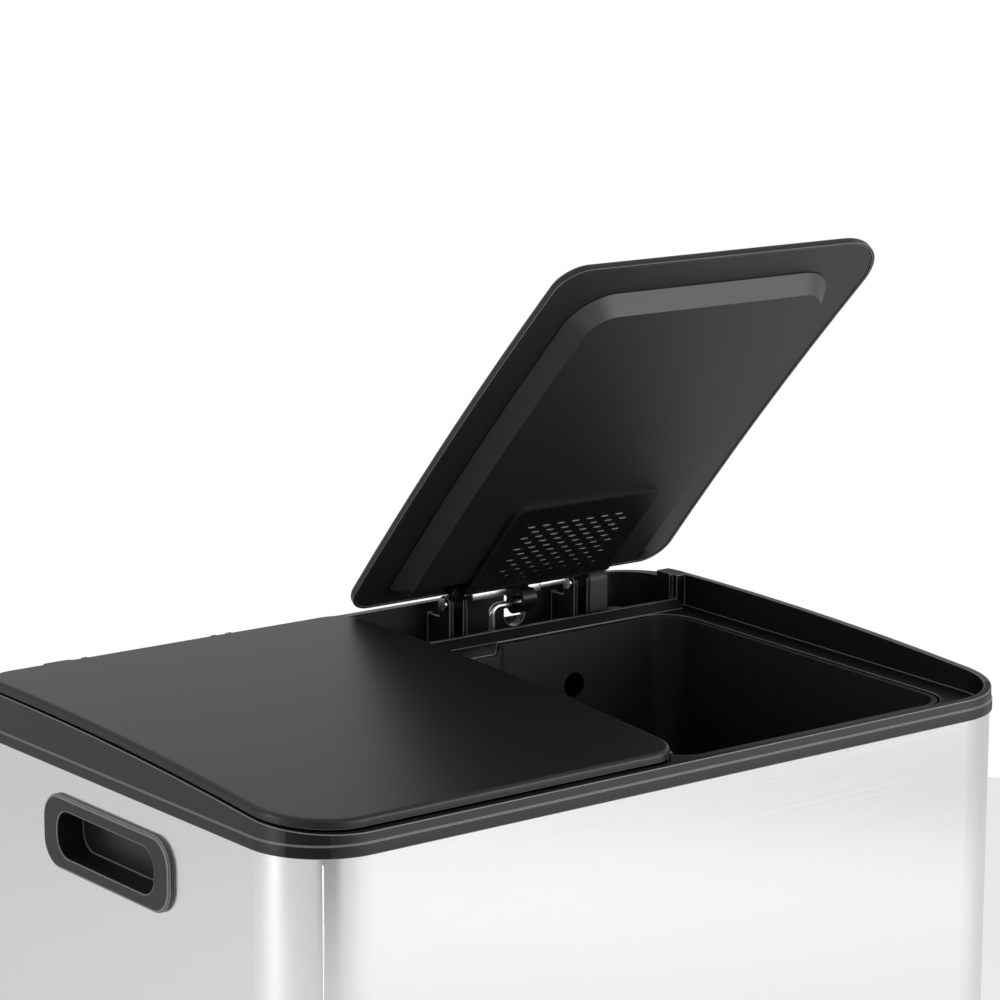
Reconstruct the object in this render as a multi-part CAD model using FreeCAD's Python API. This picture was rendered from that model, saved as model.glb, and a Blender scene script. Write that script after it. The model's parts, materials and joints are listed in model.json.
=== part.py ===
"""Double pedal recycling bin: two 20 litre buckets side by side in one steel wrap.

Millimetres. X is the width, Y runs from the front to the back, Z is up.
The origin is the middle of the footprint, on the floor.
The left lid is closed and the right lid stands open, with its pedal pressed.
"""
import FreeCAD, Part
import math
import os

V = FreeCAD.Vector
X_AXIS = V(1, 0, 0)
Z_AXIS = V(0, 0, 1)
os.makedirs("parts", exist_ok=True)

# ---- steel wrap -------------------------------------------------------------
width = 480.0
depth = 328.0
steel_top = 500.0            # visible top edge of the steel
corner_r = 41.0
steel_t = 0.8
steel_tuck = 5.0             # steel hidden in the collar above its visible edge
skirt_gap = 0.15             # between the steel and the plastic beside it

# ---- base -------------------------------------------------------------------
foot_h = 4.0
foot_r = 12.0
foot_inset = 42.0
base_rim_h = 10.0
base_rim_out = 0.8
skirt_t = 2.5
tray_z = 42.5                # top face of the tray that the buckets stand on
tray_t = 2.5

# ---- collar -----------------------------------------------------------------
band_out = 1.3               # lower band stands this far out of the steel
band_h = 6.4                 # height of the lower band
upper_band_in = 0.7          # upper band steps in by this much
rim_front_h = 11.6           # top of the band above the steel, at the front
rim_back_h = 26.5            # the same at the back
rim_level_from_back = 25.0   # the profile is level this far from the back
back_wall_h = 23.5
rim_wall = 4.2
ledge_front_h = 2.0          # ledge round the openings, above the steel edge
ledge_back_h = 7.0
ledge_t = 2.5
skirt_drop = 18.0            # collar skirt inside the steel
web_t = 3.0                  # divider web between the lids
web_start = 16.0             # front end of the web, from the steel's front
web_over_rim = -0.4

# ---- openings ---------------------------------------------------------------
opening_side = 20.0          # ledge width beside the outer wall
opening_front = 29.5
opening_from_back = 55.0     # measured from the steel's back
opening_centre = 16.5        # half the width of the ledge between the openings
opening_r = 22.0
notch_w = 54.0               # the opening is shorter beside the divider
notch_d = 20.0
notch_slope = 17.0
opening_lip_h = 14.0
opening_lip_t = 1.8

# ---- hinge trough -----------------------------------------------------------
trough_wall_t = 3.0
trough_wall_h = 12.0         # top of its front wall above the steel edge
trough_wall_gap = 6.0        # slope between the opening and that wall
trough_floor_h = -7.0
trough_floor_t = 3.0
trough_back_t = 5.0
trough_end = 10.0            # its ends stop this far inside the steel
slot_w = 16.0                # U slot through the back wall
slot_depth = 24.0
slot_shift = 12.0            # from the middle of the hinge

# ---- lids -------------------------------------------------------------------
lid_side_in = 0.9            # lid edge inside the steel face
lid_front_in = 4.0
lid_from_back = 26.0         # rear edge, from the steel's back
lid_mid_gap = 1.4            # half the gap between the lids
lid_inner_r = 17.0
lid_gap = 0.8                # between the lid's skirt and the rim
lid_edge_h = 5.0
lid_t = 1.8
lid_round = 2.4
lid_open = 50.0              # how far the right lid stands open
lid_travel = 75.0
flange_t = 1.6
flange_fit = 0.25
flange_rise = 0.5            # flange underside above the skirt's lower edge
plug_inset = 24.0
plug_depth = 10.0
plug_r = 24.0
plug_from_edge = 14.0        # rear face of the plug, from the lid's rear edge
panel_t = 1.6

# ---- hinges -----------------------------------------------------------------
axis_from_back = 20.0        # hinge axis, from the steel's back
axis_h = 25.0                # above the steel edge
pin_r = 2.5
pin_clear = 0.06
hinge_shift = 8.0            # hinge and filter, outwards of the lid's middle
ear_half = 47.0              # ears, left and right of the hinge's middle
ear_t = 6.0
ear_r = 4.8
post_t = 3.0
post_gap = 0.5
post_r = 5.2
arm_t = 10.0
arm_side = 9.0               # lift arm, inwards of the hinge's middle
yoke_h = 4.0
yoke_d = 8.0
yoke_from_edge = 2.5
yoke_over = 5.0
plate_t = 1.2

# ---- lift rods --------------------------------------------------------------
rod_r = 2.25
rod_bend_r = 5.0
rod_side = 29.0              # rod, inwards of the hinge's middle
rod_front = 14.0             # rod in front of the hinge axis
rod_low = 14.2               # its hook below the axis when the lid is closed
rod_per_deg = 0.235
hook_clear = 0.9
hook_over = 3.5
rod_clear = 0.5
foot_disc_r = 5.0
foot_disc_t = 2.0
guide_r = 6.0
guide_h = 14.0
guide_levels = (110.0, 400.0)

# ---- pedals -----------------------------------------------------------------
pedal_x = 120.0
pivot_z = 20.0
pivot_r = 3.0
lever_w = 16.0
lever_t = 5.0
tail_drop = 6.0
tail_r = 5.0
lever_rise = 14.0
lever_front_in = 12.0
pedal_rise = 20.0
pedal_out = 42.0
pad_w = 64.0
pad_d = 40.0
pad_t = 4.0
pad_over = 2.0
bracket_t = 2.0
bracket_d = 28.0
pedal_slot_w = 72.0
pedal_slot_low = 6.0
pedal_slot_high = 52.0
seat_gap = 0.3
touch_gap = 0.1              # between curved faces that rest on each other

# ---- side handles -----------------------------------------------------------
handle_y = 8.0
handle_w = 121.0
handle_h = 40.0
handle_top = 13.5            # below the steel edge
handle_r = 15.0
handle_proud = 3.0
handle_border = 7.5
handle_side_border = 14.0    # at the two ends of the recess
cup_depth = 14.5
cup_t = 1.5

# ---- buckets ----------------------------------------------------------------
bucket_gap = 1.5
bucket_t = 1.8
bucket_taper = 9.0
bucket_rim_h = 8.0
bucket_rim_out = 1.2
bucket_below_ledge = 0.6
tuck_hole_r = 7.5
tuck_hole_x = 141.0
tuck_hole_drop = 26.0

# ---- odour filter in each lid -----------------------------------------------
pocket_w = 107.0
pocket_front = 98.0          # from the hinge axis
pocket_from_plug = 1.5       # rear end, from the plug's rear face
pocket_wall = 1.6
pocket_drop = 2.7
cover_t = 1.4
cover_gap = 0.3
hole_rear = 6.0              # last row, from the cover's rear edge
hole_pitch_x = 10.9
hole_pitch_y = 5.1
hole_len = 6.4
hole_wid = 2.2
hole_cols = 7
hole_rows = 11
filter_t = 1.0

# ---- fasteners and dampers --------------------------------------------------
screw_head_r = 3.2
screw_head_h = 1.8
screw_r = 1.5
damper_r = 5.4
damper_len = 13.0
damper_drop = 19.0           # its case hangs this far below the hinge axis

# ---- derived places ---------------------------------------------------------
front = -depth / 2
back = depth / 2
side = width / 2
lid_mid = (lid_mid_gap + side - lid_side_in) / 2
axis_y = back - axis_from_back
lid_y1 = back - lid_from_back
axis_z = steel_top + axis_h
opening_x0 = opening_centre
opening_x1 = side - opening_side
opening_y0 = front + opening_front
opening_y1 = back - opening_from_back
trough_y0 = opening_y1 + trough_wall_gap + trough_wall_t
trough_y1 = back + band_out - trough_back_t
hinge_mid = lid_mid + hinge_shift
arm_x = hinge_mid - arm_side
rod_x = hinge_mid - rod_side
rod_y = axis_y - rod_front
pedal_turn = math.degrees(rod_per_deg * lid_travel / rod_y)
pocket_y0 = axis_y - pocket_front
pocket_y1 = lid_y1 - plug_from_edge - pocket_from_plug
tail_z = pivot_z - tail_drop
rod_foot_z = tail_z + tail_r + seat_gap


# ---- shape helpers ----------------------------------------------------------
def polygon_wire(points, radii, z):
    """Closed wire through points in the XY plane, each corner rounded."""
    count = len(points)
    edges = []
    starts = []
    ends = []
    arcs = []
    for i in range(count):
        p = V(points[i][0], points[i][1], z)
        a = V(points[i - 1][0], points[i - 1][1], z)
        b = V(points[(i + 1) % count][0], points[(i + 1) % count][1], z)
        to_a = (a - p).normalize()
        to_b = (b - p).normalize()
        half = to_a.getAngle(to_b) / 2
        reach = radii[i] / math.tan(half)
        middle = (to_a + to_b).normalize() * (radii[i] / math.sin(half) - radii[i])
        starts.append(p + to_a * reach)
        ends.append(p + to_b * reach)
        arcs.append(p + middle)
    for i in range(count):
        edges.append(Part.Arc(starts[i], arcs[i], ends[i]).toShape())
        edges.append(Part.LineSegment(ends[i], starts[(i + 1) % count]).toShape())
    return Part.Wire(edges)


def rectangle(x0, x1, y0, y1):
    return [(x0, y0), (x1, y0), (x1, y1), (x0, y1)]


def prism(points, radii, z0, z1):
    face = Part.Face(polygon_wire(points, radii, z0))
    return face.extrude(V(0, 0, z1 - z0))


def body_prism(grow, z0, z1):
    """The bin's outline, grown or shrunk, between two heights."""
    points = rectangle(-side - grow, side + grow, front - grow, back + grow)
    return prism(points, [corner_r + grow] * 4, z0, z1)


def body_ring(outer, inner, z0, z1):
    return body_prism(outer, z0, z1).cut(body_prism(inner, z0 - 1, z1 + 1))


def box(x0, x1, y0, y1, z0, z1):
    return Part.makeBox(x1 - x0, y1 - y0, z1 - z0, V(x0, y0, z0))


def rod_along_x(x0, x1, y, z, r):
    return Part.makeCylinder(r, x1 - x0, V(x0, y, z), X_AXIS)


def rod_up(x, y, z0, z1, r):
    return Part.makeCylinder(r, z1 - z0, V(x, y, z0), Z_AXIS)


def plate_yz(points, x0, x1):
    """Flat plate with its outline in the YZ plane."""
    corners = [V(x0, y, z) for y, z in points]
    wire = Part.makePolygon(corners + corners[:1])
    return Part.Face(wire).extrude(V(x1 - x0, 0, 0))


def capsule_x(x0, x1, a, b, r):
    """Two parallel round bars along X and all that lies between them."""
    run = math.hypot(b[0] - a[0], b[1] - a[1])
    ny = -(b[1] - a[1]) / run * r
    nz = (b[0] - a[0]) / run * r
    quad = [(a[0] + ny, a[1] + nz), (b[0] + ny, b[1] + nz),
            (b[0] - ny, b[1] - nz), (a[0] - ny, a[1] - nz)]
    shape = plate_yz(quad, x0, x1)
    shape = shape.fuse(rod_along_x(x0, x1, a[0], a[1], r))
    return shape.fuse(rod_along_x(x0, x1, b[0], b[1], r)).removeSplitter()


def fuse_all(shapes):
    return shapes[0].multiFuse(shapes[1:]).removeSplitter()


def rim_top(y):
    """Height of the collar's side walls: level at the back, falling to the front."""
    level = back - rim_level_from_back
    share = (level - y) / (level - front)
    return steel_top + rim_back_h - (rim_back_h - rim_front_h) * share * share


def rim_slab(x0, x1, y0, y1, low, high):
    """Slab that follows the rim's profile, between two lifts above it."""
    ym = (y0 + y1) / 2
    bottom = Part.Arc(*[V(x0, y, rim_top(y) + low) for y in (y0, ym, y1)])
    top = Part.Arc(*[V(x0, y, rim_top(y) + high) for y in (y1, ym, y0)])
    ends = [V(x0, y, rim_top(y) + lift) for y, lift in
            ((y1, low), (y1, high), (y0, high), (y0, low))]
    wire = Part.Wire([bottom.toShape(), Part.LineSegment(ends[0], ends[1]).toShape(),
                      top.toShape(), Part.LineSegment(ends[2], ends[3]).toShape()])
    return Part.Face(wire).extrude(V(x1 - x0, 0, 0))


def ledge_z(y):
    share = (y - opening_y0) / (opening_y1 - opening_y0)
    return steel_top + ledge_front_h + (ledge_back_h - ledge_front_h) * share


def ledge_slab(y0, y1, low, high):
    """Sloping slab along the ledge, over the whole width."""
    points = [(y0, ledge_z(y0) + low), (y1, ledge_z(y1) + low),
              (y1, ledge_z(y1) + high), (y0, ledge_z(y0) + high)]
    return plate_yz(points, -side, side)


def mirrored(shape):
    return shape.mirror(V(0, 0, 0), X_AXIS)


def opened(shape, angle):
    """Turn a closed lid's piece about the hinge axis, front edge upwards."""
    turned = shape.copy()
    turned.rotate(V(0, axis_y, axis_z), X_AXIS, -angle)
    return turned


def pressed(shape, angle):
    """Turn a pedal's piece about its pivot, pad downwards."""
    turned = shape.copy()
    turned.rotate(V(0, 0, pivot_z), X_AXIS, angle)
    return turned


def raised(shape, height):
    moved = shape.copy()
    moved.translate(V(0, 0, height))
    return moved


# ---- outlines ---------------------------------------------------------------
def opening_points(inset):
    x0 = opening_x0 + inset
    x1 = opening_x1 - inset
    y0 = opening_y0 + inset
    y1 = opening_y1 - inset
    notch_x = opening_x0 + notch_w
    return [(x0, y0), (x1, y0), (x1, y1), (notch_x + notch_slope, y1),
            (notch_x, y1 - notch_d), (x0, y1 - notch_d)]


def opening_radii(inset):
    r = opening_r - inset
    return [r, r, r, 4.0, 4.0, 5.0]


def lid_points(inset, y1):
    return rectangle(lid_mid_gap + inset, side - lid_side_in - inset,
                     front + lid_front_in + inset, y1)


def lid_radii(inset):
    inner = max(lid_inner_r - inset, 2.0)
    outer = max(corner_r - lid_front_in + 2 - inset, 2.0)
    return [inner, outer, inner, inner]


def lid_prism(inset, z0, z1):
    return prism(lid_points(inset, lid_y1 - inset), lid_radii(inset), z0, z1)


def lid_slab(low, high):
    return rim_slab(0, side + 5, front, back, low, high)


# ---- steel wrap and base ----------------------------------------------------
def make_outer_shell():
    shell = body_ring(0, -steel_t, foot_h + base_rim_h, steel_top + steel_tuck)
    hole_border = handle_border - 2
    for sign in (-1, 1):
        x0, x1 = sorted((sign * (side - 5), sign * (side + 5)))
        shell = shell.cut(handle_block(x0, x1, hole_border))
        cx = sign * pedal_x
        shell = shell.cut(box(cx - pedal_slot_w / 2, cx + pedal_slot_w / 2, front - 5,
                              front + corner_r, 0, pedal_slot_high))
    return shell


def make_base_tray():
    inner = -steel_t - skirt_gap
    rim = body_ring(base_rim_out, inner - skirt_t, foot_h, foot_h + base_rim_h - 0.2)
    skirt = body_ring(inner, inner - skirt_t, foot_h, tray_z)
    floor = body_prism(inner - 1, tray_z - tray_t, tray_z)
    tray = fuse_all([rim, skirt, floor])
    for sign in (-1, 1):
        cx = sign * pedal_x
        tray = tray.cut(box(cx - pedal_slot_w / 2 + 1, cx + pedal_slot_w / 2 - 1,
                            front - 5, front + 6, pedal_slot_low, tray_z - tray_t - 0.5))
        tray = tray.cut(rod_up(sign * rod_x, rod_y, 0, tray_z + 5, foot_disc_r + 1.5))
        for level in (-1, 1):
            tray = tray.cut(rod_up(cx + 20 * level, 0, 0, tray_z + 5, screw_r))
    pads = []
    for sx in (-1, 1):
        for sy in (-1, 1):
            pads.append(rod_up(sx * (side - foot_inset), sy * (back - foot_inset),
                               foot_h, tray_z - 1, foot_r))
    pads.append(rod_up(0, 0, foot_h, tray_z - 1, foot_r))
    return fuse_all([tray] + pads)


def make_foot(sx, sy):
    x = sx * (side - foot_inset)
    y = sy * (back - foot_inset)
    return Part.makeCone(foot_r - 2, foot_r - 1, foot_h, V(x, y, 0), Z_AXIS)


# ---- collar -----------------------------------------------------------------
def make_collar():
    top = steel_top + rim_back_h + 5
    upper = band_out - upper_band_in
    parts = [body_prism(band_out, steel_top, steel_top + band_h),
             body_prism(upper, steel_top + band_h, top)]
    block = fuse_all(parts)
    profile = rim_slab(-side - 9, side + 9, front - 9, back + 9, -60, 0)
    block = block.common(profile)
    block = block.cut(box(-side - 9, side + 9, lid_y1 - 4, back + 9,
                          steel_top + back_wall_h, top))
    # room for the steel's top edge
    block = block.cut(body_ring(skirt_gap, -steel_t - skirt_gap, steel_top - 1,
                                steel_top + steel_tuck + 0.3))
    # recess that the lids close
    inner = upper - rim_wall
    recess_y1 = opening_y1 + trough_wall_gap
    recess = body_prism(inner, steel_top - 50, top)
    recess = recess.common(box(-side, side, front, recess_y1, steel_top - 50, top))
    above = recess.cut(ledge_slab(front - 9, back, -90, 0))
    below = recess.common(ledge_slab(front - 9, back, -90, -ledge_t))
    block = block.cut(above).cut(below)
    # trough for the hinges
    x_end = side - trough_end
    wall_y = recess_y1
    trough = prism(rectangle(-x_end, x_end, trough_y0, trough_y1),
                   [6, 6, corner_r - 14, corner_r - 14],
                   steel_top + trough_floor_h, top)
    block = block.cut(trough)
    front_cut = box(-x_end, x_end, wall_y, trough_y0 + 1,
                    steel_top + trough_wall_h, top)
    block = block.cut(front_cut)
    # slope from the opening up to the trough's front wall
    slope = plate_yz([(opening_y1, ledge_z(opening_y1) - ledge_t),
                      (wall_y, ledge_z(wall_y) - ledge_t),
                      (wall_y, steel_top + trough_wall_h),
                      (opening_y1, ledge_z(opening_y1))], -x_end, x_end)
    # floor and walls of the trough below the steel edge
    tub = prism(rectangle(-x_end - 2, x_end + 2, trough_y0 - trough_wall_t,
                          back - steel_t - skirt_gap),
                [6, 6, corner_r - 12, corner_r - 12],
                steel_top + trough_floor_h - trough_floor_t, steel_top + 0.5)
    tub = tub.common(body_prism(-steel_t - skirt_gap, 0, top))
    tub = tub.cut(prism(rectangle(-x_end, x_end, trough_y0, trough_y1),
                        [6, 6, corner_r - 14, corner_r - 14],
                        steel_top + trough_floor_h, top))
    skirt_out = -steel_t - skirt_gap
    skirt = body_ring(skirt_out, skirt_out - skirt_t, steel_top - skirt_drop,
                      steel_top + 0.5)
    block = fuse_all([block, slope, tub, skirt])
    # openings with a down-turned lip
    for flip in (False, True):
        lip = prism(opening_points(-opening_lip_t), opening_radii(-opening_lip_t),
                    steel_top - opening_lip_h, steel_top + ledge_front_h)
        hole = prism(opening_points(0), opening_radii(0), steel_top - 60, top)
        ledge_cap = ledge_slab(front, back, -60, 0)
        lip = lip.common(ledge_cap)
        if flip:
            lip = mirrored(lip)
            hole = mirrored(hole)
        block = block.fuse(lip).cut(hole)
    # divider web between the lids, with a rounded front end
    web_y0 = front + web_start
    web = rim_slab(-web_t / 2, web_t / 2, web_y0, wall_y, -30, web_over_rim)
    web = web.cut(ledge_slab(front, back, -60, -ledge_t))
    block = fuse_all([block, web])
    # posts that carry the hinge pins
    posts = []
    for mid in (-hinge_mid, hinge_mid):
        for ear in (-ear_half, ear_half):
            for s in (-1, 1):
                x = mid + ear + s * (ear_t / 2 + post_gap + post_t / 2)
                posts.append(hinge_post(x - post_t / 2, x + post_t / 2))
    block = block.multiFuse(posts).removeSplitter()
    # pin bores, rod holes and the slots through the back wall
    for mid in (-hinge_mid, hinge_mid):
        for ear in (-ear_half, ear_half):
            block = block.cut(rod_along_x(mid + ear - 8, mid + ear + 8,
                                          axis_y, axis_z, pin_r))
    for sign in (-1, 1):
        block = block.cut(rod_up(sign * rod_x, rod_y, steel_top - 40, steel_top,
                                 rod_r + rod_clear))
        x = sign * (hinge_mid + slot_shift)
        low = steel_top + back_wall_h - slot_depth
        slot = box(x - slot_w / 2, x + slot_w / 2, trough_y1 - 1, back + 9,
                   low + slot_w / 2, top)
        round_end = Part.makeCylinder(slot_w / 2, trough_back_t + 11,
                                      V(x, trough_y1 - 1, low + slot_w / 2), V(0, 1, 0))
        block = block.cut(slot.fuse(round_end))
    return block


def hinge_post(x0, x1):
    floor = steel_top + trough_floor_h - 1
    web = box(x0, x1, axis_y - post_r, trough_y1 + 1, floor, axis_z - 8)
    leg = box(x0, x1, axis_y - post_r, axis_y + post_r, floor, axis_z)
    eye = rod_along_x(x0, x1, axis_y, axis_z, post_r)
    return fuse_all([web, leg, eye])


# ---- lids -------------------------------------------------------------------
def lid_floor_lift():
    """Underside of the lid shell's top wall, above the rim."""
    return lid_gap + lid_edge_h - lid_t


def make_lid_shell():
    top = steel_top + rim_back_h + 40
    outer = lid_prism(0, steel_top, top).common(lid_slab(lid_gap, lid_gap + lid_edge_h))
    edges = []
    for edge in outer.Edges:
        low = min(v.Z - rim_top(v.Y) for v in edge.Vertexes)
        if low > lid_gap + lid_edge_h - 0.5:
            edges.append(edge)
    outer = outer.makeFillet(lid_round, edges)
    inner = lid_prism(lid_t, steel_top, top).common(lid_slab(lid_gap - 3, lid_floor_lift()))
    return outer.cut(inner)


def make_lid_liner():
    top = steel_top + rim_back_h + 40
    low = lid_gap + flange_rise
    high = low + flange_t
    flange = lid_prism(lid_t + flange_fit, steel_top, top).common(lid_slab(low, high))
    plug = plug_solid(0).cut(plug_solid(panel_t))
    room = plug_solid(panel_t).common(lid_slab(low - 1, high + 1))
    return fuse_all([flange.cut(room), plug.common(lid_slab(-40, high))])


def plug_solid(wall):
    """The raised panel under the lid, or the hollow inside it."""
    low = lid_gap + flange_rise
    y1 = lid_y1 - plug_from_edge - wall
    inset = plug_inset + wall
    deep = plug_depth - wall
    radii = [plug_r - wall, plug_r + 8 - wall, 4.0 - wall, 4.0 - wall]
    block = prism(lid_points(inset, y1), radii, steel_top - 20,
                  steel_top + rim_back_h + 20)
    block = block.common(lid_slab(low - deep, low + 6))
    edges = []
    for edge in block.Edges:
        high = max(v.Z - rim_top(v.Y) for v in edge.Vertexes)
        rear = min(v.Y for v in edge.Vertexes)
        if high < low - deep + 0.5 and rear < y1 - 1:
            edges.append(edge)
    return block.makeChamfer(deep - 0.8, edges)


def pocket_points(inset):
    half = pocket_w / 2 - inset
    return rectangle(hinge_mid - half, hinge_mid + half, pocket_y0 + inset,
                     pocket_y1 - inset)


def pocket_frame():
    """Raised frame under the lid that holds the odour filter."""
    low = lid_gap + flange_rise - plug_depth
    outer = prism(pocket_points(0), [6, 6, 2, 2], steel_top, steel_top + 60)
    inner = prism(pocket_points(pocket_wall), [4.4, 4.4, 1, 1], steel_top, steel_top + 60)
    return outer.cut(inner).common(lid_slab(low - pocket_drop, low - touch_gap))


def cover_plate():
    """Perforated cover, staggered rows of short slots."""
    low = lid_gap + flange_rise - plug_depth - pocket_drop
    plate = prism(pocket_points(pocket_wall + cover_gap), [4.0, 4.0, 1, 1], steel_top,
                  steel_top + 60)
    plate = plate.common(lid_slab(low, low + cover_t))
    holes = []
    for row in range(hole_rows):
        y = pocket_y1 - hole_rear - row * hole_pitch_y
        shift = hole_pitch_x / 4 if row % 2 else -hole_pitch_x / 4
        for col in range(hole_cols):
            x = hinge_mid + (col - (hole_cols - 1) / 2) * hole_pitch_x + shift
            points = rectangle(x - hole_len / 2, x + hole_len / 2,
                               y - hole_wid / 2, y + hole_wid / 2)
            holes.append(prism(points, [hole_wid / 2 - 0.05] * 4, steel_top - 5,
                               steel_top + 60))
    return plate.cut(Part.makeCompound(holes))


def filter_pad():
    low = lid_gap + flange_rise - plug_depth
    pad = prism(pocket_points(pocket_wall + 1), [3, 3, 3, 3], steel_top, steel_top + 60)
    return pad.common(lid_slab(low - touch_gap - filter_t, low - touch_gap))


# ---- hinge pieces -----------------------------------------------------------
def lid_underside():
    y = lid_y1 - yoke_from_edge - yoke_d
    return rim_top(y) + lid_gap + flange_rise - touch_gap


def make_yoke():
    """Bar under the lid's rear edge with two ears and the lift arm."""
    z1 = lid_underside()
    y1 = lid_y1 - yoke_from_edge
    half = ear_half + ear_t / 2 + yoke_over
    bar = box(hinge_mid - half, hinge_mid + half, y1 - yoke_d, y1, z1 - yoke_h, z1)
    pieces = [bar]
    for s in (-1, 1):
        x0 = hinge_mid + s * ear_half - ear_t / 2
        neck = [(y1 - 2, z1 - yoke_h), (axis_y, axis_z - ear_r),
                (axis_y, axis_z), (y1 - 2, z1 - 1.2)]
        pieces.append(plate_yz(neck, x0, x0 + ear_t))
        pieces.append(rod_along_x(x0, x0 + ear_t, axis_y, axis_z, ear_r))
    pieces.append(arm_plate(y1, z1))
    yoke = fuse_all(pieces)
    for s in (-1, 1):
        x0 = hinge_mid + s * ear_half - ear_t
        yoke = yoke.cut(rod_along_x(x0, x0 + 2 * ear_t, axis_y, axis_z,
                                    pin_r + pin_clear))
    return yoke.cut(hook_slot(hook_clear))


def hook_point(angle):
    """Where the rod's hook sits in the closed lid's frame at an opening angle."""
    a = math.radians(angle)
    y = -rod_front
    z = -rod_low + rod_per_deg * angle
    return (axis_y + y * math.cos(a) - z * math.sin(a),
            axis_z + y * math.sin(a) + z * math.cos(a))


def hook_slot(clear):
    x0 = arm_x - arm_t
    return capsule_x(x0, x0 + 2 * arm_t, hook_point(0), hook_point(lid_travel),
                     rod_r + clear)


def arm_plate(y1, z1):
    x0 = arm_x - arm_t / 2
    a = hook_point(0)
    b = hook_point(lid_travel)
    head = capsule_x(x0, x0 + arm_t, a, b, rod_r + hook_clear + 2.6)
    neck = plate_yz([(a[0] - 3, a[1]), (b[0] + 3, b[1]), (y1, z1 - 1),
                     (y1 - yoke_d, z1 - 1)], x0, x0 + arm_t)
    return head.fuse(neck)


def make_hinge_plate():
    """Steel strip on the yoke's rear face, notched for the arm."""
    z1 = lid_underside()
    y1 = lid_y1 - yoke_from_edge
    inner = ear_half - ear_t / 2 - 1
    spans = ((hinge_mid - inner, arm_x - arm_t / 2 - 1),
             (arm_x + arm_t / 2 + 1, hinge_mid + inner))
    strips = []
    for x0, x1 in spans:
        strips.append(box(x0, x1, y1 - yoke_d + 0.5, y1 - 0.5,
                          z1 - yoke_h - plate_t, z1 - yoke_h))
    return Part.makeCompound(strips)


def make_pins():
    pins = []
    reach = ear_t / 2 + post_gap + post_t
    for ear in (-ear_half, ear_half):
        x0 = hinge_mid + ear - reach
        pins.append(rod_along_x(x0 - 0.8, x0 + 2 * reach, axis_y, axis_z, pin_r))
        pins[-1] = pins[-1].fuse(rod_along_x(x0 - 1.8, x0, axis_y, axis_z, pin_r + 1.2))
    return Part.makeCompound(pins)


def make_damper():
    """Rotary damper that lets the lid down slowly, seated on the outer post."""
    x0 = hinge_mid + ear_half + ear_t / 2 + post_gap + post_t
    barrel = rod_along_x(x0, x0 + damper_len, axis_y, axis_z, damper_r)
    case = box(x0, x0 + damper_len, axis_y - damper_r, axis_y + damper_r,
               axis_z - damper_drop, axis_z)
    lug = box(x0, x0 + 3, axis_y - 2, trough_y1, axis_z - 12, axis_z - 5)
    return fuse_all([barrel, case, lug])


def make_lift_rod():
    top_z = axis_z - rod_low
    bend_z = top_z - rod_bend_r
    start = V(rod_x, rod_y, rod_foot_z + foot_disc_t / 2)
    corner = V(rod_x, rod_y, bend_z)
    out = V(rod_x + rod_bend_r, rod_y, top_z)
    end = V(arm_x + arm_t / 2 + hook_over, rod_y, top_z)
    s = rod_bend_r * (1 - math.sqrt(0.5))
    middle = V(rod_x + s, rod_y, top_z - s)
    path = Part.Wire([Part.LineSegment(start, corner).toShape(),
                      Part.Arc(corner, middle, out).toShape(),
                      Part.LineSegment(out, end).toShape()])
    ring = Part.Wire([Part.Circle(start, Z_AXIS, rod_r).toShape()])
    rod = path.makePipeShell([ring], True, False)
    foot = rod_up(rod_x, rod_y, rod_foot_z, rod_foot_z + foot_disc_t, foot_disc_r)
    return fuse_all([rod, foot])


def make_rod_guides():
    """Brackets on the rear wall that the lift rod slides through."""
    wall = back - steel_t - seat_gap
    guides = []
    for z in guide_levels:
        ring = rod_up(rod_x, rod_y, z, z + guide_h, guide_r)
        stem = box(rod_x - 2, rod_x + 2, rod_y + 2, wall, z + 2, z + guide_h - 2)
        pad = box(rod_x - 12, rod_x + 12, wall - 2, wall + seat_gap, z - 3, z + guide_h + 3)
        guide = fuse_all([ring, stem, pad])
        guides.append(guide.cut(rod_up(rod_x, rod_y, z - 1, z + guide_h + 1,
                                       rod_r + 0.1)))
    return Part.makeCompound(guides)


# ---- pedals -----------------------------------------------------------------
def make_pedal_lever():
    tail_y = rod_y
    bend_y = front + lever_front_in
    tip_y = front - pedal_out + pad_over
    line = [(tail_y, tail_z), (0, pivot_z), (bend_y, pivot_z + lever_rise),
            (tip_y, pivot_z + pedal_rise + pad_slope() * pad_over)]
    h = lever_t / 2
    outline = [(y, z + h) for y, z in line] + [(y, z - h) for y, z in reversed(line)]
    bar = plate_yz(outline, pedal_x - lever_w / 2, pedal_x + lever_w / 2)
    hub = rod_along_x(pedal_x - lever_w / 2, pedal_x + lever_w / 2, 0, pivot_z, 7)
    tail = rod_along_x(rod_x - 6, pedal_x + lever_w / 2, tail_y, tail_z, tail_r)
    plate = pad_block(pad_w / 2 - 2, pad_over, lever_t - 2, -h)
    lever = fuse_all([bar, hub, tail, plate])
    return lever.cut(rod_along_x(pedal_x - lever_w, pedal_x + lever_w, 0, pivot_z,
                                 pivot_r + pin_clear))


def pad_slope():
    return (lever_rise - pedal_rise) / (pedal_out + lever_front_in)


def pad_block(half, inset, thick, low):
    """Slab along the lever's outer end."""
    y0 = front - pedal_out
    y1 = y0 + pad_d
    slope = pad_slope()
    z0 = pivot_z + pedal_rise + low
    z1 = z0 + slope * (y1 - y0)
    dy = inset
    points = [(y0 + dy, z0 + slope * dy), (y1 - dy, z1 - slope * dy),
              (y1 - dy, z1 - slope * dy + thick), (y0 + dy, z0 + slope * dy + thick)]
    return plate_yz(points, pedal_x - half, pedal_x + half)


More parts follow.
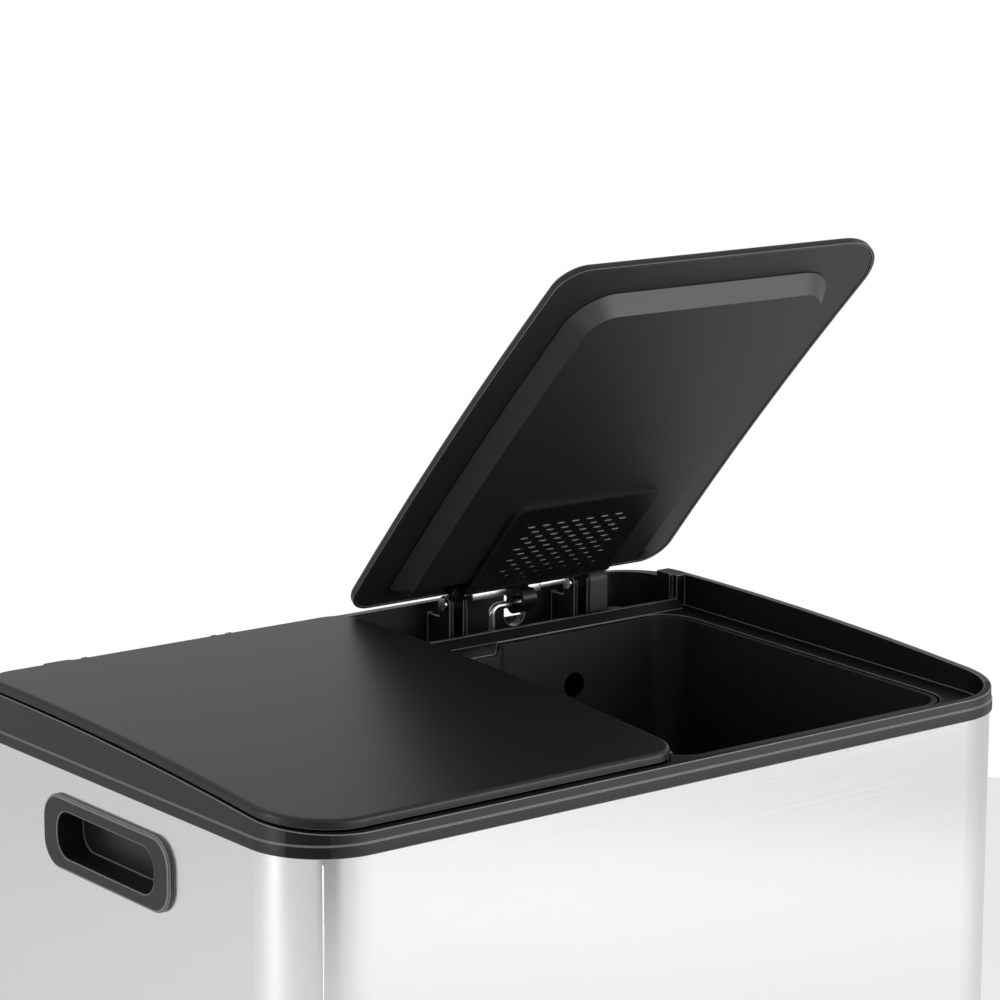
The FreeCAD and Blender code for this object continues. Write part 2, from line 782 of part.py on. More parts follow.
def make_pedal_pad():
    low = lever_t / 2
    skin = pad_block(pad_w / 2, 0, pad_t + 3, low - 3)
    core = pad_block(pad_w / 2 - 2, pad_over, 8, -lever_t / 2 - 4)
    core = core.common(pad_block(pad_w, -9, 8 + lever_t, low - 8 - lever_t))
    room = plate_yz([(front - pedal_out + 2, 0), (front, 0), (front, 80),
                     (front - pedal_out + 2, 80)], pedal_x - lever_w / 2 - 0.1,
                    pedal_x + lever_w / 2 + 0.1)
    room = room.common(pad_block(pad_w, -9, 8 + lever_t, low - 8 - lever_t))
    return skin.cut(core).cut(room)


def make_pedal_bracket():
    plates = []
    gap = lever_w / 2 + seat_gap
    for s in (-1, 1):
        x0, x1 = sorted((pedal_x + s * gap, pedal_x + s * (gap + bracket_t)))
        plates.append(box(x0, x1, -bracket_d / 2, bracket_d / 2, pivot_z - 8,
                          tray_z - tray_t))
        x0, x1 = sorted((pedal_x + s * gap, pedal_x + s * (gap + 18)))
        plates.append(box(x0, x1, -bracket_d / 2, bracket_d / 2,
                          tray_z - tray_t - bracket_t, tray_z - tray_t))
    left = plates[0].fuse(plates[1]).removeSplitter()
    right = plates[2].fuse(plates[3]).removeSplitter()
    bracket = Part.makeCompound([left, right])
    reach = gap + bracket_t + 5
    bore = rod_along_x(pedal_x - reach, pedal_x + reach, 0, pivot_z, pivot_r)
    for s in (-1, 1):
        bore = bore.fuse(rod_up(pedal_x + 20 * s, 0, tray_z - 10, tray_z, screw_r))
    return bracket.cut(bore)


def make_pedal_axle():
    reach = lever_w / 2 + seat_gap + bracket_t
    axle = rod_along_x(pedal_x - reach, pedal_x + reach + 1, 0, pivot_z, pivot_r)
    head = rod_along_x(pedal_x - reach - 2, pedal_x - reach, 0, pivot_z, pivot_r + 2)
    return axle.fuse(head).removeSplitter()


# ---- side handles -----------------------------------------------------------
def handle_block(x0, x1, border):
    """Block of the handle's outline, less a border, between two X planes."""
    ends = border * handle_side_border / handle_border
    y0 = handle_y - handle_w / 2 + ends
    y1 = handle_y + handle_w / 2 - ends
    z1 = steel_top - handle_top - border
    z0 = steel_top - handle_top - handle_h + border
    r = max(handle_r - border * 0.6, 4.0)
    block = prism(rectangle(y0, y1, z0, z1), [r] * 4, 0, x1 - x0)
    block.Placement = FreeCAD.Placement(V(x0, 0, 0), FreeCAD.Rotation(V(0, 1, 0), V(0, 0, 1),
                                                                     V(1, 0, 0), "ZXY"))
    return block


def make_side_handle():
    bezel = handle_block(side + 0.1, side + handle_proud, 0)
    bezel = bezel.makeChamfer(1.0, [e for e in bezel.Edges
                                    if min(v.X for v in e.Vertexes) > side + 1])
    cup = handle_block(side - cup_depth, side + 0.2, handle_border - 2 + 0.3)
    handle = fuse_all([bezel, cup])
    hollow = handle_block(side - cup_depth + cup_t, side + handle_proud + 1, handle_border)
    return handle.cut(hollow)


# ---- buckets ----------------------------------------------------------------
def make_bucket():
    floor_z = tray_z + seat_gap
    top_z = steel_top + ledge_back_h + 5
    outer = bucket_loft(bucket_gap + bucket_rim_out, floor_z, top_z)
    inner = bucket_loft(bucket_gap + bucket_rim_out + bucket_t, floor_z, top_z)
    inner = inner.cut(box(-side, side, front, back, 0, floor_z + bucket_t))
    cap = ledge_slab(front, back, -900, -bucket_below_ledge)
    rim = prism(opening_points(bucket_gap), opening_radii(bucket_gap), steel_top - 30, top_z)
    rim = rim.common(ledge_slab(front, back, -bucket_rim_h, -bucket_below_ledge))
    bucket = outer.common(cap).fuse(rim).cut(inner).removeSplitter()
    hole_z = steel_top - tuck_hole_drop
    hole = Part.makeCylinder(tuck_hole_r, 40, V(tuck_hole_x, opening_y1 - 30, hole_z),
                             V(0, 1, 0))
    return bucket.cut(hole)


def bucket_loft(inset, z0, z1):
    low = inset + bucket_taper
    wires = [polygon_wire(opening_points(low), opening_radii(low), z0),
             polygon_wire(opening_points(inset), opening_radii(inset), z1)]
    return Part.makeLoft(wires, True, True)


# ---- screws -----------------------------------------------------------------
def screw_up(x, y, z):
    """Screw driven upwards, head below z."""
    head = rod_up(x, y, z - screw_head_h, z, screw_head_r)
    return head.fuse(rod_up(x, y, z, z + 2.0, screw_r)).removeSplitter()


def make_pedal_screws():
    screws = []
    for sign in (-1, 1):
        for s in (-1, 1):
            screws.append(screw_up(sign * pedal_x + 20 * s, 0,
                                   tray_z - tray_t - bracket_t))
    return Part.makeCompound(screws)


def make_yoke_screws():
    z = lid_underside() - yoke_h
    y = lid_y1 - yoke_from_edge - yoke_d / 2
    reach = ear_half + ear_t / 2 + yoke_over / 2
    heads = []
    for s in (-1, 1):
        heads.append(rod_up(hinge_mid + s * reach, y, z - 1.2, z, 2.2))
    return Part.makeCompound(heads)


def save(name, shape):
    shape.exportStep("parts/" + name + ".step")


def main():
    save("outer_shell", make_outer_shell())
    save("base_tray", make_base_tray())
    save("collar", make_collar())
    save("foot_middle", make_foot(0, 0))
    for sx, x_name in ((-1, "left"), (1, "right")):
        for sy, y_name in ((-1, "front"), (1, "rear")):
            save("foot_" + y_name + "_" + x_name, make_foot(sx, sy))
    lid_pieces = {"lid_shell": make_lid_shell(), "lid_liner": make_lid_liner(),
                  "filter_frame": pocket_frame(), "filter_cover": cover_plate(),
                  "filter_pad": filter_pad(), "hinge_yoke": make_yoke(),
                  "hinge_plate": make_hinge_plate(), "yoke_screws": make_yoke_screws()}
    for name, shape in lid_pieces.items():
        save(name + "_right", opened(shape, lid_open))
        save(name + "_left", mirrored(shape))
    fixed = {"hinge_pins": make_pins(), "damper": make_damper(),
             "rod_guides": make_rod_guides(), "side_handle": make_side_handle(),
             "bucket": make_bucket(), "pedal_bracket": make_pedal_bracket(),
             "pedal_axle": make_pedal_axle()}
    for name, shape in fixed.items():
        save(name + "_right", shape)
        save(name + "_left", mirrored(shape))
    rod = make_lift_rod()
    save("lift_rod_right", raised(rod, rod_per_deg * lid_open))
    save("lift_rod_left", mirrored(rod))
    turn = pedal_turn * lid_open / lid_travel
    for name, shape in (("pedal_lever", make_pedal_lever()),
                        ("pedal_pad", make_pedal_pad())):
        save(name + "_right", pressed(shape, turn))
        save(name + "_left", mirrored(shape))
    save("pedal_screws", make_pedal_screws())


main()
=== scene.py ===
"""Double recycling bin: brushed steel wrap, black collar and lids, two pedals."""
import json
import math

import bpy
from mathutils import Matrix, Vector


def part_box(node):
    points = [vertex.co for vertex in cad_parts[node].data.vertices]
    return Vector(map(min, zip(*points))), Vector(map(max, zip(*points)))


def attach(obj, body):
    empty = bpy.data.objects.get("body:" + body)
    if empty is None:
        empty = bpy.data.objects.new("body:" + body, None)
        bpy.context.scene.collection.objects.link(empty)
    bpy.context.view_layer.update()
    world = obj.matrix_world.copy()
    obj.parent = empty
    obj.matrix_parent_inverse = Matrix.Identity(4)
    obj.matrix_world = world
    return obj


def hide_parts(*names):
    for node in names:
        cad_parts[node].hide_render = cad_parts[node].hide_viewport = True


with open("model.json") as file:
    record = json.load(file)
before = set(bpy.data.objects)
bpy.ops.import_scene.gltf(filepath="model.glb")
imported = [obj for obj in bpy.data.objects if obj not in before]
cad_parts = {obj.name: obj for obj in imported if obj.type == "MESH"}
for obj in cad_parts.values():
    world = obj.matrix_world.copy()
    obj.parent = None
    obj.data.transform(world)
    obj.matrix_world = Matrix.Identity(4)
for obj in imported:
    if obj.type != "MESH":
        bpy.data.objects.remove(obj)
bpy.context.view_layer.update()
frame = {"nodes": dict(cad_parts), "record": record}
nodes = frame["nodes"]
slot_of = {row["node"]: row["material_slot"] for row in frame["record"]["subparts"]}

# sizes in metres, as the CAD has them
SIDES = ("left", "right")
HINGE_X, HINGE_Y, HINGE_Z = 0.12825, 0.144, 0.525   # middle of the right lid's hinge axis
LID_OPEN = math.radians(50)                          # the right lid at rest
CORNER_R = 0.041
RIM_WALL = 0.0066                                    # front and side walls of the rim
REAR_WALL = 0.0075
SLOT_ROWS, SLOT_COLS = 11, 7                         # slots in the filter's cover
SLOT_PITCH_X, SLOT_PITCH_Y = 0.0109, 0.0051
FIRST_ROW_Y = 0.1165
SLOT_HALF = 0.0011


# ---- camera -----------------------------------------------------------------
cam_data = bpy.data.cameras.new("photo_camera")
cam_data.lens = 125.19
cam_data.sensor_width = 36.0
cam_data.clip_start = 0.05
cam_data.clip_end = 60
camera = bpy.data.objects.new("photo_camera", cam_data)
bpy.context.scene.collection.objects.link(camera)
turn = Matrix(((0.79015621, 0.12063109, -0.60091706),
               (-0.61290193, 0.15886972, -0.77402302),
               (0.00209629, 0.97990232, 0.19946693)))
camera.matrix_world = Matrix.Translation((-1.1218, -1.4505, 0.9935)) @ turn.to_4x4()
bpy.context.scene.camera = camera
bpy.context.scene.view_settings.view_transform = "Standard"


# ---- finishes ---------------------------------------------------------------
def new_finish(name, colour, metallic, roughness, **sockets):
    finish = bpy.data.materials.new(name)
    finish.use_nodes = True
    shader = finish.node_tree.nodes["Principled BSDF"]
    shader.inputs["Base Color"].default_value = (*colour, 1)
    shader.inputs["Metallic"].default_value = metallic
    shader.inputs["Roughness"].default_value = roughness
    for socket, value in sockets.items():
        shader.inputs[socket.replace("_", " ")].default_value = value
    return finish


def grain(finish, stretch, detail, bump, height, colours=None, roughness=None):
    """Noise in object coordinates that drives bump, and colour and roughness if given."""
    tree = finish.node_tree
    shader = tree.nodes["Principled BSDF"]
    place = tree.nodes.new("ShaderNodeTexCoord")
    mapping = tree.nodes.new("ShaderNodeMapping")
    mapping.inputs["Scale"].default_value = stretch
    noise = tree.nodes.new("ShaderNodeTexNoise")
    noise.inputs["Scale"].default_value = 1.0
    noise.inputs["Detail"].default_value = detail
    tree.links.new(place.outputs["Object"], mapping.inputs["Vector"])
    tree.links.new(mapping.outputs["Vector"], noise.inputs["Vector"])
    if bump:
        dent = tree.nodes.new("ShaderNodeBump")
        dent.inputs["Strength"].default_value = bump
        dent.inputs["Distance"].default_value = height
        tree.links.new(noise.outputs["Fac"], dent.inputs["Height"])
        tree.links.new(dent.outputs["Normal"], shader.inputs["Normal"])
    if colours:
        ramp = tree.nodes.new("ShaderNodeValToRGB")
        ramp.color_ramp.elements[0].position = 0.3
        ramp.color_ramp.elements[1].position = 0.7
        ramp.color_ramp.elements[0].color = (*colours[0], 1)
        ramp.color_ramp.elements[1].color = (*colours[1], 1)
        tree.links.new(noise.outputs["Fac"], ramp.inputs["Fac"])
        tree.links.new(ramp.outputs["Color"], shader.inputs["Base Color"])
    if roughness:
        spread = tree.nodes.new("ShaderNodeMapRange")
        spread.inputs["To Min"].default_value = roughness[0]
        spread.inputs["To Max"].default_value = roughness[1]
        tree.links.new(noise.outputs["Fac"], spread.inputs["Value"])
        tree.links.new(spread.outputs["Result"], shader.inputs["Roughness"])
    return finish


steel = grain(new_finish("brushed_steel", (0.86, 0.86, 0.865), 1.0, 0.2, Anisotropic=0.4),
              (5, 5, 2400), 5, 0.03, 0.0001,
              ((0.845, 0.845, 0.85), (0.875, 0.875, 0.88)), (0.16, 0.24))
black = grain(new_finish("black_plastic", (0.007, 0.0067, 0.007), 0.0, 0.36,
                         Specular_IOR_Level=0.42),
              (2400, 2400, 2400), 2, 0.05, 0.0001,
              ((0.006, 0.0057, 0.006), (0.0085, 0.0081, 0.0085)), (0.32, 0.4))
liner_black = grain(new_finish("liner_plastic", (0.012, 0.0115, 0.012), 0.0, 0.5),
                    (1800, 1800, 1800), 2, 0.10, 0.0001,
                    ((0.010, 0.0095, 0.010), (0.014, 0.0135, 0.014)), (0.46, 0.58))
bucket_black = grain(new_finish("bucket_plastic", (0.004, 0.0036, 0.004), 0.0, 0.55),
                     (900, 900, 900), 3, 0.14, 0.0002,
                     ((0.003, 0.0027, 0.003), (0.005, 0.0045, 0.005)), (0.5, 0.62))
rubber = grain(new_finish("rubber", (0.014, 0.014, 0.014), 0.0, 0.8),
               (1500, 1500, 1500), 3, 0.25, 0.0002,
               ((0.011, 0.011, 0.011), (0.018, 0.018, 0.018)), (0.74, 0.9))
felt = grain(new_finish("filter_felt", (0.035, 0.035, 0.036), 0.0, 0.95),
             (1600, 1600, 1600), 5, 0.8, 0.0006,
             ((0.018, 0.018, 0.018), (0.06, 0.06, 0.062)), (0.9, 1.0))
strip_steel = grain(new_finish("strip_steel", (0.62, 0.62, 0.63), 1.0, 0.3),
                    (30, 2200, 30), 3, 0.08, 0.0002,
                    ((0.55, 0.55, 0.56), (0.68, 0.68, 0.69)), (0.24, 0.4))
pin_steel = grain(new_finish("pin_steel", (0.6, 0.6, 0.61), 1.0, 0.25),
                  (60, 1800, 1800), 3, 0.06, 0.0001,
                  ((0.5, 0.5, 0.51), (0.66, 0.66, 0.67)), (0.2, 0.34))
rod_steel = grain(new_finish("rod_steel", (0.7, 0.7, 0.71), 1.0, 0.26),
                  (1500, 1500, 60), 3, 0.08, 0.0002,
                  ((0.58, 0.58, 0.59), (0.78, 0.78, 0.79)), (0.2, 0.36))
bracket_steel = grain(new_finish("bracket_steel", (0.5, 0.5, 0.51), 1.0, 0.42),
                      (500, 500, 500), 5, 0.1, 0.0003,
                      ((0.40, 0.41, 0.42), (0.58, 0.58, 0.59)), (0.34, 0.5))
screw_steel = grain(new_finish("screw_steel", (0.5, 0.5, 0.5), 1.0, 0.34),
                    (900, 900, 900), 3, 0.1, 0.0002,
                    ((0.42, 0.42, 0.42), (0.56, 0.56, 0.56)), (0.28, 0.42))
damper_grey = grain(new_finish("damper_grey", (0.05, 0.05, 0.052), 0.0, 0.5),
                    (1800, 1800, 1800), 2, 0.08, 0.0001,
                    ((0.042, 0.042, 0.044), (0.058, 0.058, 0.06)), (0.44, 0.58))
# lighter grey for the bevel faces of the black mouldings: painted highlight along their
# rounded edges
edge_painted_highlight = grain(new_finish("edge_painted_highlight", (0.16, 0.158, 0.16), 0.0, 0.3),
                   (1200, 1200, 1200), 2, 0.03, 0.0001,
                   ((0.13, 0.128, 0.13), (0.19, 0.188, 0.19)), (0.26, 0.36))
# darker, duller black for the collar's faces inside the rim: painted shade in the recess of
# what is one plastic
recess_painted_shade = grain(new_finish("recess_painted_shade", (0.004, 0.0037, 0.004), 0.0, 0.5,
                               Specular_IOR_Level=0.22),
                    (1500, 1500, 1500), 2, 0.08, 0.0001,
                    ((0.0032, 0.003, 0.0032), (0.0048, 0.0045, 0.0048)), (0.46, 0.56))
# the liner's sloping band: the lower roughness is polish, the lighter colour is a painted
# highlight
polished_band_painted_highlight = grain(new_finish("polished_band_painted_highlight", (0.045, 0.044, 0.045), 0.0, 0.42),
                     (1500, 1500, 1500), 2, 0.05, 0.0001,
                     ((0.040, 0.039, 0.040), (0.050, 0.049, 0.050)), (0.38, 0.48))

FINISH_OF_SLOT = {
    "brushed_steel": steel, "black_plastic": black, "bucket_plastic": bucket_black,
    "rubber": rubber, "filter_felt": felt, "strip_steel": strip_steel,
    "pin_steel": pin_steel, "rod_steel": rod_steel, "bracket_steel": bracket_steel,
    "screw_steel": screw_steel, "damper_grey": damper_grey,
}
for name, node in nodes.items():
    finish = FINISH_OF_SLOT[slot_of[name]]
    if name.startswith(("lid_liner", "filter_frame")):
        finish = liner_black
    for i in range(max(1, len(node.data.materials))):
        if node.data.materials:
            node.data.materials[i] = finish
        else:
            node.data.materials.append(finish)


# ---- bench tools ------------------------------------------------------------
def deselect():
    if bpy.context.object and bpy.context.object.mode != "OBJECT":
        bpy.ops.object.mode_set(mode="OBJECT")
    bpy.ops.object.select_all(action="DESELECT")


def pick(piece):
    deselect()
    piece.select_set(True)
    bpy.context.view_layer.objects.active = piece


def softened(name, width, body, edge, steps=2, angle=32, clamp=True):
    """The node's own moulding with its edges rounded over."""
    piece = nodes[name].copy()
    piece.data = nodes[name].data.copy()
    piece.name = name + "_moulding"
    for key in list(piece.keys()):
        del piece[key]
    piece.parent = None
    bpy.context.scene.collection.objects.link(piece)
    pick(piece)
    bpy.ops.object.mode_set(mode="EDIT")
    bpy.ops.mesh.select_all(action="SELECT")
    bpy.ops.mesh.remove_doubles(threshold=0.00001)
    bpy.ops.mesh.dissolve_limited(angle_limit=math.radians(0.4))
    bpy.ops.object.mode_set(mode="OBJECT")
    bpy.ops.mesh.customdata_custom_splitnormals_clear()
    round_over = piece.modifiers.new("round_over", "BEVEL")
    round_over.width = width
    round_over.segments = steps
    round_over.limit_method = "ANGLE"
    round_over.angle_limit = math.radians(angle)
    round_over.use_clamp_overlap = clamp
    # the bevel faces take the edge finish where one is given; the lighter edge finish is a
    # painted highlight along the rounded edges
    if edge:
        piece.data.materials.append(edge)
        round_over.material = 1
    bpy.ops.object.modifier_apply(modifier="round_over")
    bpy.ops.object.shade_smooth_by_angle(angle=math.radians(34))
    even = piece.modifiers.new("even", "WEIGHTED_NORMAL")
    even.keep_sharp = True
    bpy.ops.object.modifier_apply(modifier="even")
    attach(piece, body)
    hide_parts(name)
    return piece


# ---- pieces added to the mouldings ------------------------------------------
def inner_faces(collar):
    """The collar is smooth satin outside; its ledges and hinge trough inside the rim get a
    darker, duller black, painted shade for the recess.
    """
    low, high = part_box("collar")
    collar.data.materials.append(recess_painted_shade)
    for face in collar.data.polygons:
        x, y = face.center.xy
        inside = (abs(x) < high.x - RIM_WALL
                  and low.y + RIM_WALL < y < high.y - REAR_WALL)
        if inside and face.material_index == 0:
            face.material_index = 2


def band_faces(liner):
    """The sloping band round the lid's raised panel is polished and painted a lighter grey
    as its highlight; the rest is textured.
    """
    flat = max(liner.data.polygons, key=lambda f: f.area).normal.copy()
    liner.data.materials.append(polished_band_painted_highlight)
    for face in liner.data.polygons:
        if face.material_index == 0 and 0.55 < abs(face.normal.dot(flat)) < 0.9:
            face.material_index = 2


inner_faces(softened("collar", 0.00045, "body", edge_painted_highlight, clamp=False))
softened("base_tray", 0.0008, "body", None)
for side in SIDES:
    lid = "lid_" + side
    softened("lid_shell_" + side, 0.0003, lid, edge_painted_highlight)
    band_faces(softened("lid_liner_" + side, 0.0004, lid, edge_painted_highlight))
    softened("filter_frame_" + side, 0.0004, lid, edge_painted_highlight)
    softened("filter_cover_" + side, 0.00012, lid, edge_painted_highlight, steps=1)
    softened("hinge_yoke_" + side, 0.0004, lid, edge_painted_highlight)
    softened("side_handle_" + side, 0.0006, "body", edge_painted_highlight)
    softened("bucket_" + side, 0.0006, "inner_bucket_" + side, None)
    softened("pedal_pad_" + side, 0.0008, "pedal_" + side, None, steps=3)
    softened("pedal_lever_" + side, 0.0005, "pedal_" + side, None)


def finish_piece(piece, name, finish, body, width, steps=2):
    """Rounds a piece's edges, puts its place in its mesh and gives it its finish."""
    piece.name = name
    pick(piece)
    bpy.ops.object.transform_apply(location=True, rotation=True, scale=True)
    if width:
        round_over = piece.modifiers.new("round_over", "BEVEL")
        round_over.width = width
        round_over.segments = steps
        round_over.limit_method = "ANGLE"
        bpy.ops.object.modifier_apply(modifier="round_over")
    bpy.ops.object.shade_smooth_by_angle(angle=math.radians(40))
    piece.data.materials.clear()
    piece.data.materials.append(finish)
    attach(piece, body)
    return piece


def bar(centre, size, turned=0.0):
    deselect()
    bpy.ops.mesh.primitive_cube_add(size=1, location=centre, rotation=(0, 0, turned))
    piece = bpy.context.object
    piece.scale = size
    return piece


shell_low, shell_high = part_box("outer_shell")
SEAM_LOW, SEAM_HIGH = shell_low.z + 0.012, shell_high.z - 0.008


def wrap_joint():
    """Fine raised line down the front left corner, where the steel sheet is joined."""
    angle = math.radians(55)
    reach = CORNER_R - 0.0001
    x = shell_low.x + CORNER_R - reach * math.cos(angle)
    y = shell_low.y + CORNER_R - reach * math.sin(angle)
    piece = bar((x, y, (SEAM_LOW + SEAM_HIGH) / 2), (0.0007, 0.0005, SEAM_HIGH - SEAM_LOW),
                math.pi * 3 / 2 - angle)
    finish_piece(piece, "wrap_joint", steel, "body", 0.00015)


def rear_lap():
    """Lapped seam down the back, with a row of pressed spot welds."""
    tall = SEAM_HIGH - SEAM_LOW
    piece = bar((0.004, shell_high.y, (SEAM_LOW + SEAM_HIGH) / 2), (0.016, 0.0008, tall))
    finish_piece(piece, "rear_lap", steel, "body", 0.0002)
    for n in range(9):
        z = SEAM_LOW + 0.03 + n * (tall - 0.06) / 8
        deselect()
        bpy.ops.mesh.primitive_cylinder_add(vertices=28, radius=0.0026, depth=0.0007,
                                            location=(0.004, shell_high.y + 0.0004, z),
                                            rotation=(math.pi / 2, 0, 0))
        spot = bpy.context.object
        bpy.ops.object.mode_set(mode="EDIT")
        bpy.ops.mesh.select_all(action="SELECT")
        bpy.ops.mesh.inset(thickness=0.0009, depth=-0.0001)
        bpy.ops.object.mode_set(mode="OBJECT")
        finish_piece(spot, "spot_weld_%d" % (n + 1), bracket_steel,
                     "body", 0.00015)


def top_of(node):
    """Centre and normal of the node's upward faces."""
    faces = [f for f in nodes[node].data.polygons if f.normal.z > 0.75 and f.area > 2e-6]
    area = sum(f.area for f in faces)
    centre = sum((f.center * f.area for f in faces), Vector()) / area
    normal = sum((f.normal * f.area for f in faces), Vector()).normalized()
    return centre, normal


def pad_ribs(side):
    """Five grip ribs across the pedal's rubber pad."""
    centre, normal = top_of("pedal_pad_" + side)
    low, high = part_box("pedal_pad_" + side)
    along = (Vector((0, 1, 0)) - normal * normal.y).normalized()
    lean = math.atan2(along.z, along.y)
    for n in range(5):
        spot = centre + along * (n - 2) * 0.0066 + normal * 0.0003
        spot.x = (low.x + high.x) / 2
        piece = bar(spot, (high.x - low.x - 0.012, 0.0028, 0.0018))
        piece.rotation_euler = (lean, 0, 0)
        finish_piece(piece, "pad_rib_%s_%d" % (side, n + 1), rubber,
                     "pedal_" + side, 0.0007, 3)


def pin_clips(side):
    """Spring clips on the ends of the hinge pins."""
    low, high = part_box("hinge_pins_" + side)
    y, z = (low.y + high.y) / 2, (low.z + high.z) / 2
    for n, x in enumerate((low.x + 0.0004, high.x - 0.0004)):
        deselect()
        bpy.ops.mesh.primitive_torus_add(location=(x, y, z), rotation=(0, math.pi / 2, 0),
                                         major_segments=36, minor_segments=10,
                                         major_radius=0.0027, minor_radius=0.0004)
        clip = bpy.context.object
        finish_piece(clip, "pin_clip_%s_%d" % (side, n + 1), pin_steel,
                     "body", 0)


def swung(piece, angle):
    """Turns a piece's mesh about the hinge axis."""
    about = Matrix.Translation((0, HINGE_Y, HINGE_Z))
    piece.data.transform(about @ Matrix.Rotation(angle, 4, "X") @ about.inverted())


def swapped(piece):
    """Mirrors a piece's mesh to the other side of the bin."""
    piece.data.transform(Matrix.Scale(-1, 4, (1, 0, 0)))


def face_outwards(piece):
    pick(piece)
    bpy.ops.object.mode_set(mode="EDIT")
    bpy.ops.mesh.select_all(action="SELECT")
    bpy.ops.mesh.normals_make_consistent(inside=False)
    bpy.ops.object.mode_set(mode="OBJECT")


def louvre_lips(side):
    """A small raised lip along each of the cover's slots, in the lighter edge finish:
    painted highlight.
    """
    cover = nodes["filter_cover_left"].data
    face = max((f for f in cover.polygons if f.normal.z < -0.9), key=lambda f: f.area)
    slope = -face.normal.y / face.normal.z
    lips = []
    for row in range(SLOT_ROWS):
        y = FIRST_ROW_Y - row * SLOT_PITCH_Y - SLOT_HALF
        shift = SLOT_PITCH_X / 4 if row % 2 else -SLOT_PITCH_X / 4
        for col in range(SLOT_COLS):
            x = -HINGE_X - (col - SLOT_COLS // 2) * SLOT_PITCH_X - shift
            z = face.center.z + slope * (y - face.center.y)
            deselect()
            if not lips:
                bpy.ops.mesh.primitive_uv_sphere_add(segments=14, ring_count=7, radius=1,
                                                     location=(x, y, z))
                lip = bpy.context.object
                lip.scale = (0.0031, 0.00045, 0.0006)
            else:
                lip = lips[0].copy()
                lip.data = lips[0].data.copy()
                lip.location = (x, y, z)
                bpy.context.scene.collection.objects.link(lip)
            lips.append(lip)
    deselect()
    for lip in lips:
        lip.select_set(True)
    bpy.context.view_layer.objects.active = lips[0]
    bpy.ops.object.join()
    piece = bpy.context.object
    bpy.ops.object.transform_apply(location=True, rotation=True, scale=True)
    if side == "right":
        swapped(piece)
        swung(piece, -LID_OPEN)
        face_outwards(piece)
    finish_piece(piece, "louvre_lips_" + side, edge_painted_highlight, "lid_" + side, 0)


def strip_lips(side):
    """Turned-down lips of the hinge's steel strip, each side of the lift arm."""
    for n, (x0, x1, low) in enumerate(((0.086, 0.1115, 0.5278), (0.127, 0.137, 0.5272),
                                       (0.137, 0.156, 0.5288))):
        piece = bar(((x0 + x1) / 2, 0.1316, (low + 0.5318) / 2),
                    (x1 - x0, 0.0011, 0.5318 - low))
        if side == "left":
            pick(piece)
            bpy.ops.object.transform_apply(location=True, rotation=True, scale=True)
            swung(piece, LID_OPEN)
            swapped(piece)
            face_outwards(piece)
        finish_piece(piece, "strip_lip_%s_%d" % (side, n + 1), strip_steel,
                     "lid_" + side, 0.0003)


wrap_joint()
rear_lap()
for side in SIDES:
    pad_ribs(side)
    pin_clips(side)
    louvre_lips(side)
    strip_lips(side)

# ---- studio -----------------------------------------------------------------
def lit_mix(tree, seen, other, amount):
    """Camera rays see that share of one shader, and every other ray sees only the other."""
    path = tree.nodes.new("ShaderNodeLightPath")
    share = tree.nodes.new("ShaderNodeMath")
    share.operation = "MULTIPLY"
    share.inputs[1].default_value = amount
    mix = tree.nodes.new("ShaderNodeMixShader")
    tree.links.new(path.outputs["Is Camera Ray"], share.inputs[0])
    tree.links.new(share.outputs[0], mix.inputs["Fac"])
    tree.links.new(other.outputs[0], mix.inputs[1])
    tree.links.new(seen.outputs[0], mix.inputs[2])
    return mix.outputs[0]


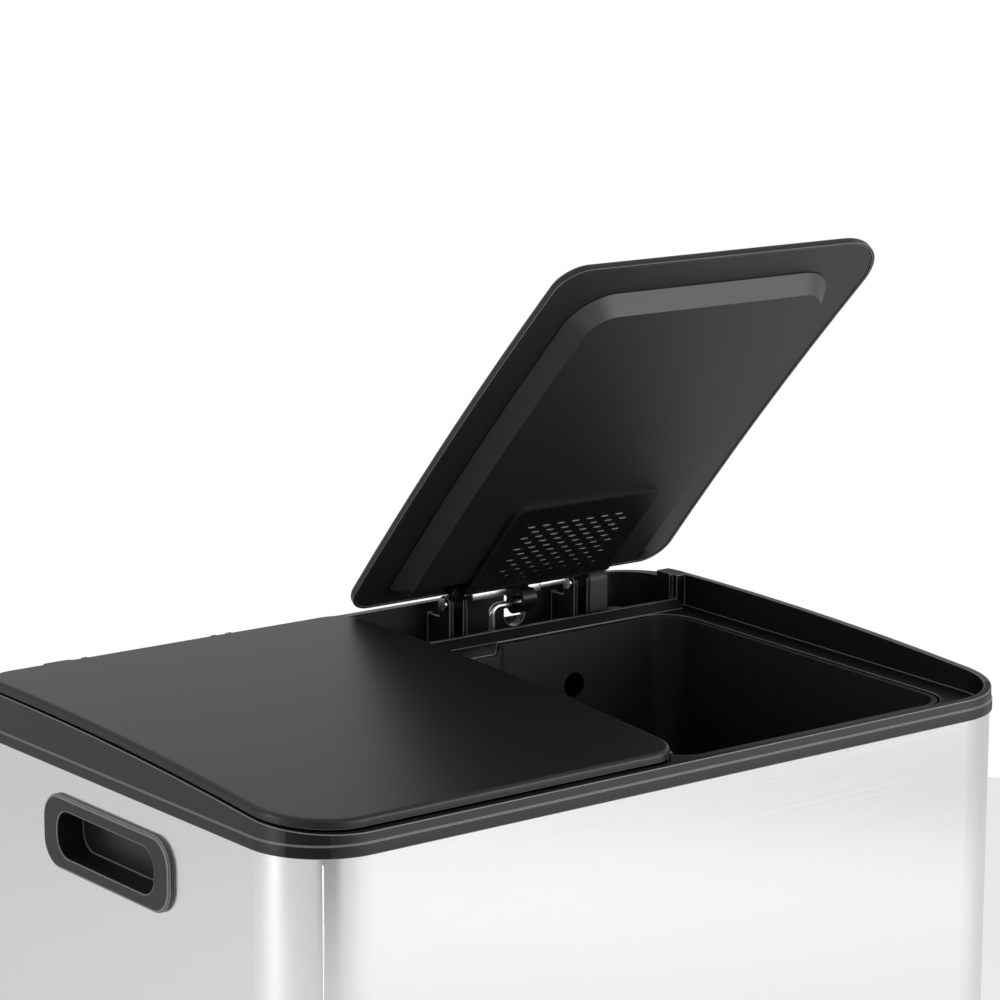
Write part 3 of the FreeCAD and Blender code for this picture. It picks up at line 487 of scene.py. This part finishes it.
bpy.ops.mesh.primitive_circle_add(vertices=96, radius=1.7, fill_type="NGON",
                                  location=(0, 0, 0))
floor = bpy.context.object
floor.name = "studio_floor"
pale = bpy.data.materials.new("pale_floor")
pale.use_nodes = True
tree = pale.node_tree
shader = tree.nodes["Principled BSDF"]
shader.inputs["Base Color"].default_value = (0.9, 0.9, 0.9, 1)
shader.inputs["Roughness"].default_value = 0.9
glow = tree.nodes.new("ShaderNodeEmission")
glow.inputs["Strength"].default_value = 1.0
tree.links.new(lit_mix(tree, glow, shader, 0.4),
               tree.nodes["Material Output"].inputs["Surface"])
floor.data.materials.append(pale)

world = bpy.data.worlds.new("studio")
bpy.context.scene.world = world
world.use_nodes = True
tree = world.node_tree
back = tree.nodes["Background"]
back.inputs["Color"].default_value = (1, 1, 1, 1)
back.inputs["Strength"].default_value = 0.64
white = tree.nodes.new("ShaderNodeBackground")
white.inputs["Color"].default_value = (1, 1, 1, 1)
white.inputs["Strength"].default_value = 1.0
tree.links.new(lit_mix(tree, white, back, 1.0),
               tree.nodes["World Output"].inputs["Surface"])


def softbox(name, place, aim, width, height, level):
    """A plain rectangular lamp. level is how bright its face is, where 1 is white."""
    lamp = bpy.data.lights.new(name, "AREA")
    lamp.shape = "RECTANGLE"
    lamp.size, lamp.size_y = width, height
    lamp.energy = level * math.pi * width * height
    holder = bpy.data.objects.new(name, lamp)
    bpy.context.scene.collection.objects.link(holder)
    way = Vector(aim) - Vector(place)
    holder.location = place
    holder.rotation_euler = way.to_track_quat("-Z", "Y").to_euler()
    return holder


softbox("front_softbox", (1.25, -2.1, 0.75), (0.1, 0, 0.4), 2.35, 1.5, 2.7)
softbox("side_strip", (-2.0, 0.3, 0.7), (-0.1, 0, 0.4), 0.45, 1.4, 4.5)
softbox("top_softbox", (-0.5, 0.6, 2.4), (0, 0, 0.5), 1.6, 1.6, 0.5)

# a grey card in front of the near corner gives the steel its soft dark band
bpy.ops.mesh.primitive_plane_add(size=1, location=(0, 0, 0))
card = bpy.context.object
card.name = "grey_card"
card.data.transform(Matrix.Translation((-1.0, -1.75, 0.5))
                    @ Vector((1.0, 1.55, 0)).to_track_quat("Z", "Y").to_matrix().to_4x4()
                    @ Matrix.Diagonal((0.9, 1.4, 1, 1)))
felt_grey = new_finish("grey_card", (0.16, 0.16, 0.16), 0.0, 1.0)
card.data.materials.append(felt_grey)
card.visible_camera = False
card.visible_shadow = False
card.visible_diffuse = False

bpy.context.view_layer.update()
